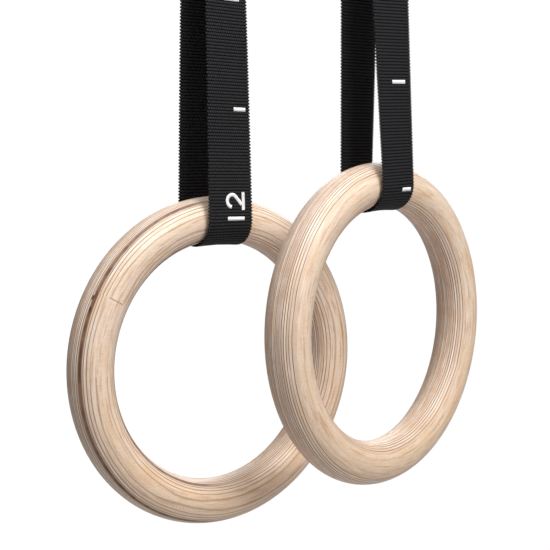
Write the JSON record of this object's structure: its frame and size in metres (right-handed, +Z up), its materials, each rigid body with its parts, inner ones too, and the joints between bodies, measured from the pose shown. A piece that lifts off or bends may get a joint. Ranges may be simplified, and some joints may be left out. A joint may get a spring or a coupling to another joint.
{
  "type": "gymnastics rings",
  "caption": "Pair of laminated wooden gymnastics rings, each hanging in a webbing loop that closes with a cam buckle.",
  "frame": {"origin": "midway between the two hanging loops, at the height of the bars that they go over", "axes": "+Z up, +X along the bars, -Y towards the front runs of webbing (the marked ones)"},
  "size_m": [0.3269, 0.1479, 0.5257],
  "materials": {
    "plywood": "satin lacquered birch plywood, plies parallel to the ring",
    "webbing": "black ribbed nylon webbing",
    "buckle_steel": "zinc-plated pressed steel",
    "pin_steel": "plated steel pin",
    "spring_steel": "drawn spring wire",
    "cast_metal": "die-cast zinc, satin"
  },
  "bodies": {
    "bar_loops": {"left_bar_bight": "webbing", "right_bar_bight": "webbing"},
    "left_upper_loop": {"left_upper_front_run": "webbing", "left_adjusting_end": "webbing", "left_sewn_end": "webbing", "left_buckle_frame": "buckle_steel", "left_anchor_pin": "pin_steel", "left_cam_pin": "pin_steel", "left_cam_spring": "spring_steel"},
    "left_cam": {"left_cam_lever": "cast_metal"},
    "left_lower_loop": {"left_front_run": "webbing", "left_back_run": "webbing"},
    "left_wrap": {"left_rod_bight": "webbing"},
    "left_ring_body": {"left_ring": "plywood"},
    "right_upper_loop": {"right_upper_front_run": "webbing", "right_adjusting_end": "webbing", "right_sewn_end": "webbing", "right_buckle_frame": "buckle_steel", "right_anchor_pin": "pin_steel", "right_cam_pin": "pin_steel", "right_cam_spring": "spring_steel"},
    "right_cam": {"right_cam_lever": "cast_metal"},
    "right_lower_loop": {"right_front_run": "webbing", "right_back_run": "webbing"},
    "right_wrap": {"right_rod_bight": "webbing"},
    "right_ring_body": {"right_ring": "plywood"}
  },
  "joints": [
    {"name": "left_swing", "type": "hinge", "parent": "bar_loops", "child": "left_upper_loop", "pos_m": [-0.0497, 0.037, 0], "axis": [1, 0, 0], "range_deg": [-2.5, 50]},
    {"name": "left_cam_release", "type": "hinge", "parent": "left_upper_loop", "child": "left_cam", "pos_m": [-0.04819, 0.05857, -0.05999], "axis": [0.9987, -0.0506, 0.007], "range_deg": [0, 32], "stiffness_Nm_per_rad": 0.06, "springref_deg": -22.92},
    {"name": "left_twist", "type": "hinge", "parent": "left_upper_loop", "child": "left_lower_loop", "pos_m": [-0.04879, 0.037, -0.131], "axis": [-0.007, 0, 1], "range_deg": [-15, 55], "stiffness_Nm_per_rad": 0.0035},
    {"name": "left_tilt", "type": "hinge", "parent": "left_lower_loop", "child": "left_wrap", "pos_m": [-0.04766, 0.037, -0.29227], "axis": [0.9885, -0.1513, 0.0069], "range_deg": [-6, 60]},
    {"name": "left_spin", "type": "hinge", "parent": "left_wrap", "child": "left_ring_body", "pos_m": [-0.04696, 0.037, -0.39299], "axis": [-0.1822, -0.9833, -0.0013], "continuous": true},
    {"name": "right_swing", "type": "hinge", "parent": "bar_loops", "child": "right_upper_loop", "pos_m": [0.0348, -0.037, 0], "axis": [1, 0, 0], "range_deg": [-50, 2.5]},
    {"name": "right_cam_release", "type": "hinge", "parent": "right_upper_loop", "child": "right_cam", "pos_m": [0.03842, -0.01366, -0.05991], "axis": [0.997, -0.0698, 0.0331], "range_deg": [0, 32], "stiffness_Nm_per_rad": 0.06, "springref_deg": -22.92},
    {"name": "right_twist", "type": "hinge", "parent": "right_upper_loop", "child": "right_lower_loop", "pos_m": [0.03914, -0.037, -0.13093], "axis": [-0.0332, 0, 0.9995], "range_deg": [-20, 45], "stiffness_Nm_per_rad": 0.0035},
    {"name": "right_tilt", "type": "hinge", "parent": "right_lower_loop", "child": "right_wrap", "pos_m": [0.0437, -0.037, -0.26833], "axis": [0.9984, 0.0454, 0.0331], "range_deg": [-60, 5]},
    {"name": "right_spin", "type": "hinge", "parent": "right_wrap", "child": "right_ring_body", "pos_m": [0.04704, -0.037, -0.369], "axis": [0.0244, -0.9997, 0.0008], "continuous": true}
  ]
}
